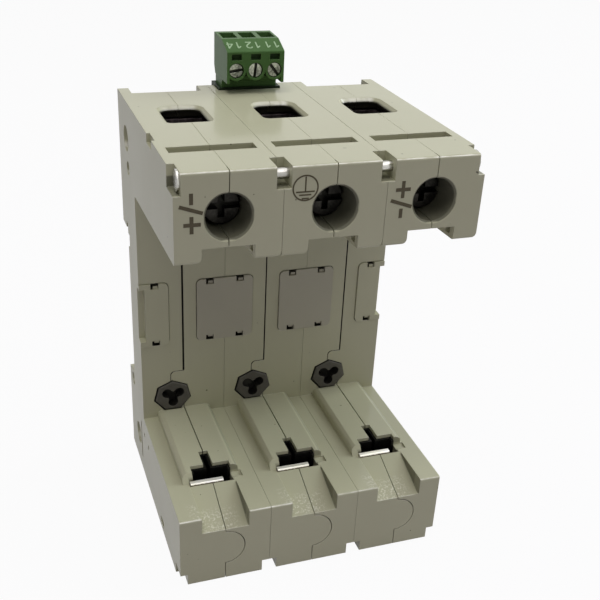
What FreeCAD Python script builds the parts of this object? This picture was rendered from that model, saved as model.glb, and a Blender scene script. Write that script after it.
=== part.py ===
import FreeCAD, Part
import math
import os

from FreeCAD import Vector

# Base unit of a plug-in surge protection device for a 35 mm top-hat rail: three poles side by side,
# each of two moulded half-shells, riveted together. Seen from the side every pole is a C. The upper
# arm holds the cable terminal, the lower block holds the lower cartridge contact, and the three
# protection cartridges, which are not part of the base, plug into the bay between them.
#
# X runs across the poles, Y away from the front, Z up. The shapes are drawn with Y = 0 on the wall
# at the bottom of the bay and Z = 0 on the underside; at the end everything moves in Y so that the
# origin lies under the middle of the whole unit. Sizes in millimetres.

# Overall form
pole_width = 17.8          # one pole, one modular width
pole_count = 3
base_height = 82.8
bay_depth = 35.5           # wall of the bay to the front of the arm and block
back_depth = 15.4          # wall of the bay to the back face
block_height = 15.6
arm_height = 15.2          # at the front
arm_slope = 1.3            # the underside of the arm drops this much towards the wall
pole_gap = 0.06            # joint line between two poles
seam_gap = 0.16            # joint line between the half-shells of a pole
wall_seams = (0.4, 0.28, 0.3)   # the same line on the wall of each pole, where the shells bow apart
rail_seam = 0.24           # and on the raised rail
lip_gap = 0.04             # and on the top face, where their lips meet
lip_depth = 0.8
lip_in = 1.8               # front face to the lip
edge_round = 0.45          # rounded front edges
leg_round = 1.1            # rounded right-hand lower edges of the arm's legs

# Rail seat in the back
rail_height = 35.0         # top-hat rail
rail_clear = 0.2
rail_sheet = 1.0           # thickness of the rail's flanges
rail_low = 21.6            # lower shoulder
rail_recess = 5.6          # depth of the seat
hook_drop = 1.2            # the fixed hook reaches this far down behind the upper flange
shoulder_slope = 1.2       # lead-in of the lower shoulder

# Tie rivets that hold the half-shells together
rod_radius = 0.9
rod_head_radius = 1.75
rod_head_height = 0.4
rod_clear = 0.05
front_rod_back = 2.2       # axis behind the arm's front face
front_rod_drop = 1.8       # axis below the top face
back_rod_in = 8.1          # axes in front of the back face
low_rod_in = 8.6
back_rod_drop = 7.5
low_rod_z = 7.6
rod_recess_radius = 2.5
rod_recess_depth = 1.4
notch_half = 1.25          # notch over the front rod at the side of each pole
notch_length = 4.7
notch_height = 3.7

# Cable terminal
screw_z_below_top = 7.6    # screw axis below the top face
access_radius = 3.8        # screwdriver hole
screw_head_radius = 3.3
screw_head_height = 3.5
screw_head_depth = 5.0     # front face of the arm to the screw head
screw_slot_width = 1.1
screw_slot_depth = 1.5
screw_radius = 2.4
screw_length = 17.2        # under the head
screw_fit = 0.08           # running clearance round the screw
head_web = 5.7             # web that carries the screw head
cage_wall = 1.2
cage_front = 2.4
cage_back = 1.6
cage_window_length = 11.6
cage_window_half = 4.6
cage_height = 10.0
cage_clear = 0.3
tongue_sheet = 1.4
chamber_back_room = 1.6
entry_half = 3.7           # cable entry, half width in X
entry_length = 9.8
entry_y = -4.0             # middle of the cable entry
entry_round = 1.9          # rear corners
entry_front_round = 0.6
entry_chamfer = 0.7
entry_wall = 0.95          # the top face is this thick round the entry
entry_room = 1.2

# Label slots in the top of the arm
label_half = 7.35
label_width = 2.9
label_depth = 3.0
label_back = 9.9           # front face of the arm to the slot's front edge

# Channel under the arm and upper contact
channel_half = 4.4
channel_height = 2.5
channel_length = 12.1
strip_sheet = 1.2
strip_half = 3.9
strip_reach = 1.2          # how far the contact lip stands out into the channel
latch_size = 1.6           # latch notch in each leg of the arm

# Lower block: raised rail, T-slot, ramp
rail_foot_half = 5.85
rail_top_half = 4.8
rail_rise = 1.7
rail_side = 1.2            # height of the rail's steep side
rail_shoulder = 0.8
rail_length = 24.7
rail_nose = 1.4            # the rail's front end slopes back
ridge_length = 25.6        # wall to the start of the ramp
slot_bar_left = 3.7
slot_bar_right = 4.2
slot_bar_width = 4.2
slot_bar_front = 0.1       # the slot starts just behind the ramp
slot_stem_half = 0.95
slot_stem_length = 4.3
slot_mouth = 4.5           # the slot's front edge reaches further left, for the leaf
slot_floor = 5.1           # height of the slot's floor
ramp_half = 4.6
ramp_drop = 3.5
side_pocket_right = 6.3     # step beside the slot's right end
side_pocket_front = 0.9
side_pocket_length = 2.0
side_pocket_depth = 0.35
leaf_sheet = 1.2
leaf_right = 2.2
leaf_rise = 0.45           # the leaf's edge stands above the ramp
leaf_deep = 2.0
clip_sheet = 0.5           # dark spring clip that lines the T-slot
clip_drop = 0.75           # below the raised rail
clip_return = 1.6
clip_fit = 0.05
star_width = 5.0
star_sheet = 1.2
star_back = 21.5           # front face of the block to the star bar
star_overhang = 3.2        # bar ends beyond the outer poles' middle lines
contact_clear = 0.1
foot_notch_width = 1.5     # notches at the lower front corners
foot_notch_height = 2.6
foot_notch_depth = 4.2
button_radius = 3.75       # half-round tongue of the left shell in the block's front
button_z = 7.7
button_depth = 2.0

# Coding key in the wall
key_x = -2.5
key_z = 20.55
key_half = 3.9
key_squash = 0.925
key_proud = 0.35
key_depth = 3.0
key_clear = 0.26
key_play = 0.1             # the key stands this far to the upper right in its seat
key_socket_radius = 1.1
key_socket_offset = 1.5
key_socket_arm = 1.9       # width of the arms that join the three lobes
key_socket_depth = 2.3
key_shallow = (False, True, False)   # the middle key's left lobe is shallower
jog_x = 2.7                # the seam steps aside here
jog_top = 26.4
jog_bottom = 18.0
jog_depth = 4.0
jog_round = 0.9

# Cover plates on the wall, over the joint lines
plate_half = 5.95
plate_low = 33.4
plate_high = 47.5
plate_sheet = 1.2
plate_seat = 0.9
plate_round = 1.0
plate_clear = 0.11
window_x = 3.2
window_half = 0.82
window_in = 1.15
window_out = 0.1
window_depth = 2.2
tab_half = 0.5             # snap tab that shows in each window
tab_height = 0.6
tab_sunk = 0.35
end_slot_width = 1.2       # open slot in the outer edge of the end plates
end_slot_in = 1.1
end_slot_depth = 1.8

# Recesses in the back and on the left side
back_recess_half = 6.8
back_recess_depth = 4.1
back_recess_rise = 3.2     # above the rail's upper flange
side_mark = 0.6            # depth of the shallow marks on the left side
side_dot_radius = 1.35
side_dot_low_radius = 1.5
side_dot_step = (1.1, 5.6)       # from the back rivet, forwards and down
side_dot_low_step = (1.8, 2.6)   # from the rail seat's lower corner, backwards and down
side_slits = ((3.0, 3.8, 3.2, 12.8), (-0.7, 0.3, 11.0, 12.0), (-5.2, -4.2, 10.7, 11.7),
              (-20.0, -17.0, 1.4, 2.8))                      # y0, y1, z0, z1
side_notch = (-18.8, -14.6)      # notch in the upper edge
side_notch_drop = 1.6
side_step_drop = (2.0, 5.0)      # mark below the seat's upper corner
side_step_in = 1.4

# Sliding rail foot in the outer poles
foot_half = 5.0
foot_flange_half = 6.2
foot_flange_sheet = 1.1
foot_face_in = 4.0         # depth of the guide in the back face
foot_nose_rise = 2.4       # nose above the lower shoulder
foot_bottom = 0.8
foot_eye = (2.0, 4.2)      # slot for a screwdriver, above the foot's lower end
foot_eye_in = 1.6
foot_grip_low = 6.4
foot_grip_step = 1.8
foot_grip_width = 0.7
foot_grip_depth = 0.5
foot_grips = 3
foot_clear = 0.15
foot_travel = 4.0          # the spring closes to half its length
foot_flange_low = 3.0
foot_flange_top = 19.3
lug_half = 1.5
lug_height = 2.0
lug_top = 14.0
lug_reach = 2.2
spring_pocket_half = 1.9
spring_sheet = 0.6         # measured across the pocket
spring_waves = 4

# Remote-signal header and pluggable connector
plug_x = -1.15
plug_pitch = 3.81
plug_ways = 3
plug_length = 10.0
plug_stand_out = 1.8       # the plug ends at the plane of the rail's web
plug_lift = 2.1            # gap between the top face and the plug's collar
plug_height = 7.9
plug_nose_in = 4.5         # front face to the nose
plug_nose_length = 4.7
plug_nose_drop = 9.5
plug_slope_drop = 1.9
plug_slope_in = 4.1
plug_top_rise = 0.3        # the top rises this much to the back
plug_back_chamfer = 1.6
plug_screw_rise = 2.4      # screw axis above the collar's lower side
plug_collar_radius = 1.87
plug_screw_radius = 1.3
plug_screw_head = 0.9
plug_bore_gap = 0.16       # dark ring round each screw head
plug_screw_inset = 0.35
plug_shaft_radius = 0.85
plug_web = 0.8
plug_fit = 0.05
plug_slot_width = 0.55
plug_slot_turns = (8, 84, -52)   # each screw stands at its own angle
plug_well_half = 1.45
plug_well_in = 4.9
plug_well_length = 3.8
plug_window_half = 1.0
plug_window_drop = 3.5     # lower edge below the plug's top
plug_window_height = 1.15
plug_window_depth = 1.2
clamp_half = 1.4
clamp_wall = 0.35
clamp_front = 0.8
clamp_back = 0.5
clamp_window = 3.2
clamp_height = 3.4
clamp_clear = 0.15
clamp_travel = 1.6
clamp_room = 0.3           # what is left in front of the fully raised clamp
blade_sheet = 0.45
header_wall = 0.55
header_clear = 0.12
header_rise = 0.4          # rim above the top face
header_height = 9.7
header_floor_sheet = 1.0
pin_half = 0.5
pin_drop = 2.2             # pin ends below the header's rim
board_sheet = 1.5
board_reach = 1.93         # board in front of the header

# Derived places
half_pole = pole_width / 2
front = -bay_depth
arm_low = base_height - arm_height
wall_top = arm_low - arm_slope
screw_z = base_height - screw_z_below_top
head_front = front + screw_head_depth
head_back = head_front + screw_head_height
web_back = head_back + head_web
tip = head_back + screw_length
tongue_front = tip + contact_clear
tongue_back = tongue_front + tongue_sheet
cage_window_front = tongue_front - 0.4
cage_front_y = cage_window_front - cage_front
cage_back_y = cage_window_front + cage_window_length + cage_back
chamber_low = screw_z - cage_height / 2 - cage_clear - 0.2
chamber_high = screw_z + cage_height / 2 + cage_clear
chamber_half = cage_window_half + cage_wall + cage_clear
chamber_back = cage_back_y + chamber_back_room
strip_top = chamber_low
strip_low = strip_top - strip_sheet
channel_top = arm_low + channel_height
channel_back = front + channel_length
seat_y = back_depth - rail_recess
rail_high = rail_low + rail_height + rail_clear
hook_y = seat_y + rail_sheet + 2 * rail_clear
slot_front = -(ridge_length - slot_bar_front)
slot_back = slot_front + slot_bar_width
ridge_top = block_height + rail_rise
star_front = front + star_back
star_low = slot_floor - star_sheet
guide_y = back_depth - foot_face_in
spring_pocket_low = lug_top - lug_height - 2 * foot_travel
front_rod_y = front + front_rod_back
back_rod_y = back_depth - back_rod_in
back_rod_z = base_height - back_rod_drop
low_rod_y = back_depth - low_rod_in
back_recess_low = rail_high + back_recess_rise
front_rod_z = base_height - front_rod_drop
plug_half = plug_ways * plug_pitch / 2
plug_back = back_depth + plug_stand_out
plug_front = plug_back - plug_length
plug_low = base_height + plug_lift
plug_high = plug_low + plug_height
plug_nose_front = plug_front + plug_nose_in
plug_nose_back = plug_nose_front + plug_nose_length
plug_nose_low = plug_low - plug_nose_drop
plug_slope_low = plug_high - plug_slope_drop
plug_slope_back = plug_front + plug_slope_in
plug_screw_z = plug_low + plug_screw_rise
plug_well_front = plug_front + plug_well_in
plug_well_back = plug_well_front + plug_well_length
plug_window_low = plug_high - plug_window_drop
plug_window_high = plug_window_low + plug_window_height
header_half = plug_half + header_wall
header_front = plug_nose_front - header_clear - header_wall
header_back = plug_back
header_rim = base_height + header_rise
header_floor = header_rim - header_height
pin_top = header_rim - pin_drop
board_low = header_floor - board_sheet
board_front = header_front - board_reach
blade_front = plug_nose_front + 0.45
plug_web_back = plug_front + plug_screw_inset + plug_screw_head + plug_web
clamp_front_y = plug_web_back + clamp_travel + clamp_room
clamp_back_y = clamp_front_y + clamp_front + clamp_window + clamp_back
shift_y = (bay_depth - header_back) / 2
pole_places = [(i - (pole_count - 1) / 2) * pole_width for i in range(pole_count)]
plug_places = [plug_x + (i - (plug_ways - 1) / 2) * plug_pitch for i in range(plug_ways)]


def box(x0, x1, y0, y1, z0, z1):
    return Part.makeBox(x1 - x0, y1 - y0, z1 - z0, Vector(x0, y0, z0))


def rod_x(y, z, radius, x0, x1):
    return Part.makeCylinder(radius, x1 - x0, Vector(x0, y, z), Vector(1, 0, 0))


def rod_y(x, z, radius, y0, y1):
    return Part.makeCylinder(radius, y1 - y0, Vector(x, y0, z), Vector(0, 1, 0))


def outline(corners, place):
    """Closed wire through corners (u, v, radius); place turns (u, v) into a point."""
    count = len(corners)
    legs = []
    for i in range(count):
        u, v, radius = corners[i]
        here = Vector(u, v, 0)
        before = Vector(corners[i - 1][0], corners[i - 1][1], 0) - here
        after = Vector(corners[(i + 1) % count][0], corners[(i + 1) % count][1], 0) - here
        if radius <= 0:
            legs.append((here, None, here))
            continue
        before.normalize()
        after.normalize()
        half = before.getAngle(after) / 2
        reach = radius / math.tan(half)
        middle = before + after
        middle.normalize()
        centre = here + middle * (radius / math.sin(half))
        legs.append((here + before * reach, centre - middle * radius, here + after * reach))
    edges = []
    for i in range(count):
        start, bulge, end = legs[i]
        if bulge is not None:
            edges.append(Part.Arc(place(start), place(bulge), place(end)).toShape())
        following = legs[(i + 1) % count][0]
        if (following - end).Length > 1e-6:
            edges.append(Part.LineSegment(place(end), place(following)).toShape())
    return Part.Wire(edges)


def prism_x(corners, x0, x1):
    wire = outline(corners, lambda p: Vector(x0, p.x, p.y))
    return Part.Face(wire).extrude(Vector(x1 - x0, 0, 0))


def prism_y(corners, y0, y1):
    wire = outline(corners, lambda p: Vector(p.x, y0, p.y))
    return Part.Face(wire).extrude(Vector(0, y1 - y0, 0))


def prism_z(corners, z0, z1):
    wire = outline(corners, lambda p: Vector(p.x, p.y, z0))
    return Part.Face(wire).extrude(Vector(0, 0, z1 - z0))


def rectangle(u0, u1, v0, v1, radius=0.0):
    return [(u0, v0, radius), (u1, v0, radius), (u1, v1, radius), (u0, v1, radius)]


def fuse_all(shapes):
    whole = shapes[0]
    for shape in shapes[1:]:
        whole = whole.fuse(shape)
    return whole.removeSplitter()


def cut_all(shape, tools):
    for tool in tools:
        shape = shape.cut(tool)
    return shape


def moved(shape, x=0.0, y=0.0, z=0.0):
    copy = shape.copy()
    copy.translate(Vector(x, y, z))
    return copy


def leg_tool(x, y_end):
    """Rounds the right-hand lower edge of a leg of the arm, which slopes down towards the wall."""
    r = leg_round
    fall = arm_slope / bay_depth
    y0 = front - 1
    z0 = arm_low + fall
    corner = Part.Wire([Part.LineSegment(Vector(x - r, y0, z0), Vector(x - r, y0, z0 - 1)).toShape(),
                        Part.LineSegment(Vector(x - r, y0, z0 - 1), Vector(x + 0.5, y0, z0 - 1)).toShape(),
                        Part.LineSegment(Vector(x + 0.5, y0, z0 - 1), Vector(x + 0.5, y0, z0 + r)).toShape(),
                        Part.LineSegment(Vector(x + 0.5, y0, z0 + r), Vector(x, y0, z0 + r)).toShape(),
                        Part.Arc(Vector(x, y0, z0 + r),
                                 Vector(x - r + r * math.sin(math.pi / 4), y0,
                                        z0 + r - r * math.cos(math.pi / 4)),
                                 Vector(x - r, y0, z0)).toShape()])
    length = y_end - y0
    return Part.Face(corner).extrude(Vector(0, length, -fall * length))


def pole_block():
    """The C-shaped side outline of one pole across its whole width."""
    side = half_pole - pole_gap / 2
    profile = [
        (front, 0, 0.3),
        (back_depth, 0, 0.3),
        (back_depth, rail_low - shoulder_slope, 0),
        (seat_y, rail_low, 0),
        (seat_y, rail_high, 0),
        (hook_y, rail_high, 0),
        (hook_y, rail_high - hook_drop, 0),
        (back_depth, rail_high - hook_drop, 0),
        (back_depth, base_height, 0.3),
        (front, base_height, edge_round),
        (front, arm_low, edge_round),
        (0, wall_top, 0.5),
        (0, block_height, 0),
        (front, block_height, edge_round),
    ]
    return cut_all(prism_x(profile, -side, side), [leg_tool(-channel_half, channel_back - 0.2),
                                                   leg_tool(side, -0.6)])


def ridge():
    """Raised rail on top of the block: steep sides, rounded shoulders and a sloping front end."""
    low = block_height - 0.3
    high = block_height + rail_rise
    shoulder = block_height + rail_side
    side = rail_foot_half - 0.1
    rail = prism_y([(-rail_foot_half, low, 0), (rail_foot_half, low, 0), (side, shoulder, rail_shoulder),
                    (rail_top_half, high, 0.6), (-rail_top_half, high, 0.6),
                    (-side, shoulder, rail_shoulder)], -rail_length, 0.2)
    nose = prism_x([(-rail_length - 1, block_height, 0), (-rail_length, block_height, 0),
                    (-rail_length + rail_nose, high, 0), (-rail_length + rail_nose, high + 1, 0),
                    (-rail_length - 1, high + 1, 0)], -rail_foot_half - 1, rail_foot_half + 1)
    return rail.cut(nose)


def entry_outline(grow, z):
    """Rim of the cable entry: round rear corners, nearly sharp front ones."""
    x = entry_half + grow
    y0 = entry_y - entry_length / 2 - grow
    y1 = entry_y + entry_length / 2 + grow
    corners = [(-x, y0, entry_front_round + grow), (x, y0, entry_front_round + grow),
               (x, y1, entry_round + grow), (-x, y1, entry_round + grow)]
    return outline(corners, lambda p: Vector(p.x, p.y, z))


def entry_tool():
    """Cable entry: thin chamfered rim over a wider room above the cage."""
    shaft = Part.Face(entry_outline(0, chamber_high - 0.5)).extrude(
        Vector(0, 0, base_height + 0.5 - chamber_high + 0.5))
    c = entry_chamfer
    bevel = Part.makeLoft([entry_outline(0, base_height - c), entry_outline(c + 0.1, base_height + 0.1)],
                          True, True)
    room = box(-entry_half - entry_room, entry_half + entry_room, entry_y - entry_length / 2 - entry_room,
               entry_y + entry_length / 2 + entry_room, chamber_high - 0.5, base_height - entry_wall)
    return shaft.fuse(bevel).fuse(room)


def terminal_tools():
    """Everything that the terminal takes out of the arm."""
    bore = rod_y(0, screw_z, access_radius, front - 1, head_back)
    rim = Part.makeCone(access_radius + 0.4, access_radius, 0.4, Vector(0, front - 0.001, screw_z),
                        Vector(0, 1, 0))
    neck = rod_y(0, screw_z, screw_radius + screw_fit, head_back - 0.1, web_back + 0.1)
    chamber = box(-chamber_half, chamber_half, web_back, chamber_back, chamber_low, chamber_high)
    strip = box(-strip_half - contact_clear, strip_half + contact_clear, channel_back - 0.1,
                tongue_back + contact_clear, strip_low - contact_clear, strip_top + contact_clear)
    label = box(-label_half, label_half, front + label_back, front + label_back + label_width,
                base_height - label_depth, base_height + 1)
    return [bore.fuse(rim).fuse(neck), chamber.fuse(strip), entry_tool(), label]


def arm_tools():
    """Channel under the arm, latch notches and the notches over the front rivet."""
    channel = box(-channel_half, channel_half, front - 1, channel_back, wall_top - 2, channel_top)
    latch = box(-channel_half - latch_size, channel_half + latch_size, front + 1.4,
                front + 1.4 + latch_size, channel_top - latch_size - 0.3, channel_top - 0.3)
    tools = [channel, latch]
    for sign in (-1, 1):
        edge = sign * half_pole
        low, high = sorted((edge + sign, edge - sign * notch_half))
        tools.append(box(low, high, front - 1, front + notch_length, base_height - notch_height,
                         base_height + 1))
    tools.append(rod_x(front_rod_y, front_rod_z, rod_radius + rod_clear, -half_pole, half_pole))
    return tools


def block_tools():
    """T-slot with its contact chamber, ramp, side pocket and corner notches of the lower block."""
    top = block_height + rail_rise + 1
    bar = box(-slot_bar_left, slot_bar_right, slot_front, slot_back, slot_floor, top)
    mouth = box(-slot_mouth, slot_bar_right, slot_front, slot_front + leaf_sheet + 2 * contact_clear,
                slot_floor, top)
    stem = box(-slot_stem_half, slot_stem_half, slot_back - 0.1, slot_back + slot_stem_length,
               block_height - 6, top)
    duct = box(-slot_bar_left, slot_bar_right, slot_front, star_front + star_width + contact_clear,
               slot_floor - 0.01, slot_floor + star_sheet + contact_clear)
    ramp = prism_x([(-ridge_length, block_height, 0), (-ridge_length, top, 0), (front - 1, top, 0),
                    (front - 1, block_height - ramp_drop - 0.1, 0),
                    (front, block_height - ramp_drop, edge_round)], -ramp_half, ramp_half)
    pocket = box(slot_bar_right - 0.1, side_pocket_right, slot_front + side_pocket_front,
                 slot_front + side_pocket_front + side_pocket_length,
                 block_height - side_pocket_depth, top)
    tools = [bar.fuse(stem).fuse(duct).fuse(mouth), ramp, pocket]
    for sign in (-1, 1):
        low, high = sorted((sign * (half_pole + 1), sign * (half_pole - foot_notch_width)))
        tools.append(box(low, high, front - 1, front + foot_notch_depth, -1, foot_notch_height))
    return tools


def heptagon(half, y0, y1):
    corners = []
    for k in range(7):
        angle = math.pi / 2 + k * 2 * math.pi / 7
        corners.append((key_x + half * math.cos(angle),
                        key_z + half * key_squash * math.sin(angle), 0))
    return prism_y(corners, y0, y1)


def window_tools(middle):
    """Four small tab windows across the upper and lower edges of a cover plate."""
    tools = []
    for sign in (-1, 1):
        x0 = middle + sign * window_x - window_half
        x1 = middle + sign * window_x + window_half
        tools.append(box(x0, x1, -1, window_depth, plate_high - window_in, plate_high + window_out))
        tools.append(box(x0, x1, -1, window_depth, plate_low - window_out, plate_low + window_in))
    return tools


def end_slot_tool(sign, edge):
    """Open slot in the outer edge of an end plate, which goes on into the shell behind it."""
    low, high = sorted((edge + sign, edge - sign * end_slot_width))
    return box(low, high, -1, end_slot_depth, plate_low + end_slot_in, plate_high - end_slot_in)


def wall_tools():
    """Seats of the coding key and of the cover plates."""
    tools = [heptagon(key_half + key_clear, -key_proud - 0.15, key_depth)]
    for sign in (-1, 1):
        middle = sign * half_pole
        tools.append(prism_y(rectangle(middle - plate_half - plate_clear,
                                       middle + plate_half + plate_clear,
                                       plate_low - plate_clear, plate_high + plate_clear,
                                       plate_round + plate_clear), -1, plate_seat))
        tools.extend(window_tools(middle))
    return tools


def side_tools(index):
    """Rivet holes through the pole and the marks on the outer side of the left one."""
    side = half_pole - pole_gap / 2
    tools = []
    for y, z in ((back_rod_y, back_rod_z), (low_rod_y, low_rod_z)):
        tools.append(rod_x(y, z, rod_radius + rod_clear, -half_pole, half_pole))
        for sign in (-1, 1):
            low, high = sorted((sign * half_pole, sign * (side - rod_recess_depth)))
            tools.append(rod_x(y, z, rod_recess_radius, low, high))
    if index > 0:
        return tools
    x0 = -half_pole
    x1 = -side + side_mark
    tools.append(rod_x(back_rod_y - side_dot_step[0], back_rod_z - side_dot_step[1], side_dot_radius, x0, x1))
    tools.append(rod_x(seat_y + side_dot_low_step[0], rail_low - side_dot_low_step[1],
                       side_dot_low_radius, x0, x1))
    tools.extend(box(x0, x1, y0, y1, z0, z1) for y0, y1, z0, z1 in side_slits)
    tools.append(box(x0, x1, side_notch[0], side_notch[1], base_height - side_notch_drop, base_height + 1))
    tools.append(box(x0, x1, seat_y - side_step_in, seat_y + 1, rail_high - side_step_drop[1],
                     rail_high - side_step_drop[0]))
    return tools


def foot_guide_tools():
    """Guide of the sliding foot in the back face, open at the bottom, and its spring pocket."""
    c = foot_clear
    face = box(-foot_half - c, foot_half + c, guide_y - c, back_depth + 1, -1, rail_low + 0.5)
    wings = box(-foot_flange_half - c, foot_flange_half + c, guide_y - c,
                guide_y + foot_flange_sheet + c, -1, foot_flange_top + c)
    pocket = box(-spring_pocket_half, spring_pocket_half, guide_y - lug_reach - 2 * c, guide_y,
                 spring_pocket_low, lug_top + c)
    return [face.fuse(wings).fuse(pocket)]


def header_tools():
    """Pocket of the remote-signal header, open to the top and the back."""
    c = header_clear
    tall = box(plug_x - header_half - c, plug_x + header_half + c, header_front - c, back_depth + 1,
               header_floor - 0.1, base_height + 1)
    board = box(plug_x - header_half - c - 0.5, plug_x + header_half + c + 0.5, board_front - c,
                back_depth + 1, board_low - 0.9, header_floor)
    return [tall.fuse(board)]


def star_tool(x0, x1):
    return box(x0, x1, star_front - contact_clear, star_front + star_width + contact_clear,
               star_low - contact_clear, slot_floor + 0.01)


def pole_shape(index):
    """One pole before it is split into its half-shells."""
    body = pole_block().fuse(ridge())
    tools = terminal_tools() + arm_tools() + block_tools() + wall_tools() + side_tools(index)
    left_end = -half_pole - 1
    right_end = half_pole + 1
    if index == 0:
        left_end = -star_overhang - contact_clear
        tools.append(end_slot_tool(-1, pole_gap / 2 - half_pole))
    if index == pole_count - 1:
        right_end = star_overhang + contact_clear
        tools.append(end_slot_tool(1, half_pole - pole_gap / 2))
    tools.append(star_tool(left_end, right_end))
    if index in (0, pole_count - 1):
        tools.append(box(-back_recess_half, back_recess_half, back_depth - back_recess_depth,
                         back_depth + 1, back_recess_low, base_height + 1))
        tools.extend(foot_guide_tools())
    else:
        tools.extend(header_tools())
    return cut_all(body, tools)


def half_shells(pole, wall_seam):
    """Split along the seam, which steps round the coding key and the half-round tongue."""
    g = seam_gap / 2
    far = half_pole + 5
    button = rod_y(0, button_z, button_radius, front - 1, front + button_depth)
    button_seat = rod_y(0, button_z, button_radius + seam_gap, front - 1,
                        front + button_depth + seam_gap)
    lip = box(-g, -lip_gap / 2, front + lip_in, back_depth + 5, base_height - lip_depth, base_height + 5)
    lip_room = box(lip_gap / 2, g + 0.01, front + lip_in, back_depth + 5, base_height - lip_depth,
                   base_height + 5)
    left_side = box(-far, -g, front - 5, back_depth + 5, -5, base_height + 5).fuse([button, lip])
    not_right = box(-far, g, front - 5, back_depth + 5, -5, base_height + 5).cut(lip_room).fuse(button_seat)
    jog = prism_y(rectangle(-jog_x, 1.5, jog_bottom, jog_top, jog_round), -0.5, jog_depth)
    jog_room = prism_y(rectangle(-jog_x - seam_gap, 1.5, jog_bottom - seam_gap, jog_top + seam_gap,
                                 jog_round), -0.5, jog_depth + seam_gap)
    wall_only = box(-far, far, -0.01, jog_depth + 1, 0, base_height)
    left = pole.common(left_side).cut(jog_room.common(wall_only))
    right = fuse_all([pole.cut(not_right), pole.common(jog.common(wall_only))])
    line = box(-wall_seam / 2, wall_seam / 2, -1, 1.4, jog_top + seam_gap, wall_top + 2)
    line = line.fuse(box(-rail_seam / 2, rail_seam / 2, slot_back + 1, -0.3, ridge_top - 1.5,
                         ridge_top + 1))
    return left.cut(line), right.cut(line)


def tie_rivets():
    """Three rivets across all poles: a visible one in the arm's front edge and two in the back."""
    end = half_pole * pole_count
    inner = end - pole_gap / 2 - rod_recess_depth
    rivets = []
    for y, z, seat in ((front_rod_y, front_rod_z, end - notch_half), (back_rod_y, back_rod_z, inner),
                       (low_rod_y, low_rod_z, inner)):
        shank = rod_x(y, z, rod_radius, -seat - rod_head_height, seat + rod_head_height)
        heads = []
        for sign in (-1, 1):
            low, high = sorted((sign * seat, sign * (seat + rod_head_height)))
            heads.append(rod_x(y, z, rod_head_radius, low, high))
        rivets.append(fuse_all([shank] + heads))
    return Part.makeCompound(rivets)


def terminal_screw():
    """Cheese-head clamping screw with a driver slot; it turns but stays where it is."""
    head = rod_y(0, screw_z, screw_head_radius, head_front, head_back)
    shank = rod_y(0, screw_z, screw_radius, head_back, tip)
    rim = [edge for edge in head.Edges if abs(edge.CenterOfMass.y - head_front) < 0.01
           and edge.Length > screw_head_radius * 6]
    head = head.makeChamfer(0.3, rim)
    end = [edge for edge in shank.Edges if abs(edge.CenterOfMass.y - tip) < 0.01
           and edge.Length > screw_radius * 6]
    shank = shank.makeChamfer(0.4, end)
    slot = box(-screw_head_radius - 1, screw_head_radius + 1, head_front - 1,
               head_front + screw_slot_depth, screw_z - screw_slot_width / 2,
               screw_z + screw_slot_width / 2)
    cross = box(-screw_slot_width / 2, screw_slot_width / 2, head_front - 1,
                head_front + screw_slot_depth, screw_z - screw_head_radius * 0.62,
                screw_z + screw_head_radius * 0.62)
    return fuse_all([head, shank]).cut(slot).cut(cross)


def terminal_cage():
    """Clamping cage: the screw turns in its front wall and draws it towards the head."""
    outer_half = cage_window_half + cage_wall
    z0 = screw_z - cage_height / 2
    z1 = screw_z + cage_height / 2
    outer = prism_z(rectangle(-outer_half, outer_half, cage_front_y, cage_back_y, 1.0), z0, z1)
    window = prism_z(rectangle(-cage_window_half, cage_window_half, cage_window_front,
                               cage_window_front + cage_window_length, 0.6), z0 - 1, z1 + 1)
    thread = rod_y(0, screw_z, screw_radius + screw_fit, cage_front_y - 1, cage_window_front + 1)
    return outer.cut(window).cut(thread)


def line_contact():
    """Bent strip: its tongue stands in the cage, its lip is the cartridge's upper contact."""
    z1 = screw_z + cage_height / 2 - 0.6
    lip = channel_back - strip_reach
    profile = [(tongue_front, z1, 0), (tongue_back, z1, 0), (tongue_back, strip_low, 1.3),
               (lip, strip_low, 0.4), (lip, strip_top, 0.4), (tongue_front, strip_top, 0.1)]
    return prism_x(profile, -strip_half, strip_half)


def lower_contact():
    """Leaf at the front of the T-slot on a foot that lies on the star bar."""
    y0 = slot_front + contact_clear
    y1 = star_front + star_width
    foot = slot_floor + star_sheet
    top = block_height + leaf_rise
    profile = [(y0, slot_floor, 0), (y1, slot_floor, 0), (y1, foot, 0),
               (y0 + leaf_sheet, foot, 0.3), (y0 + leaf_sheet, top, 0.35),
               (y0, top, 0.35)]
    upright = [(y0, slot_floor, 0), (y0 + leaf_sheet, slot_floor, 0), (y0 + leaf_sheet, top, 0.35),
               (y0, top, 0.35)]
    leaf = prism_x(profile, -slot_bar_left + contact_clear, slot_bar_right - contact_clear)
    leaf = leaf.fuse(prism_x(upright, -slot_mouth + contact_clear, 0))
    narrow = box(leaf_right, slot_bar_right + 1, y0 - 1, y0 + leaf_sheet + 0.01, top - leaf_deep,
                 top + 1)
    return leaf.cut(narrow)


def contact_clip():
    """Blackened spring clip: a strip that lines the back of the T-slot and its stem."""
    g = clip_fit
    t = clip_fit + clip_sheet
    low = block_height - 5.9
    high = ridge_top - clip_drop
    outside = box(-slot_bar_left + g, slot_bar_right - g, slot_back - clip_return, slot_back - g, low,
                  high).fuse(box(-slot_stem_half + g, slot_stem_half - g, slot_back - clip_return,
                                 slot_back + slot_stem_length - g, low, high))
    inside = box(-slot_bar_left + t, slot_bar_right - t, slot_back - clip_return - 1, slot_back - t,
                 low - 1, high + 1).fuse(box(-slot_stem_half + t, slot_stem_half - t,
                                             slot_back - clip_return - 1,
                                             slot_back + slot_stem_length - t, low - 1, high + 1))
    return outside.cut(inside)


def star_bar():
    """Flat bar that joins the lower contacts of all poles."""
    end = pole_places[-1] + star_overhang
    return box(-end, end, star_front, star_front + star_width, star_low, slot_floor)


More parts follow.
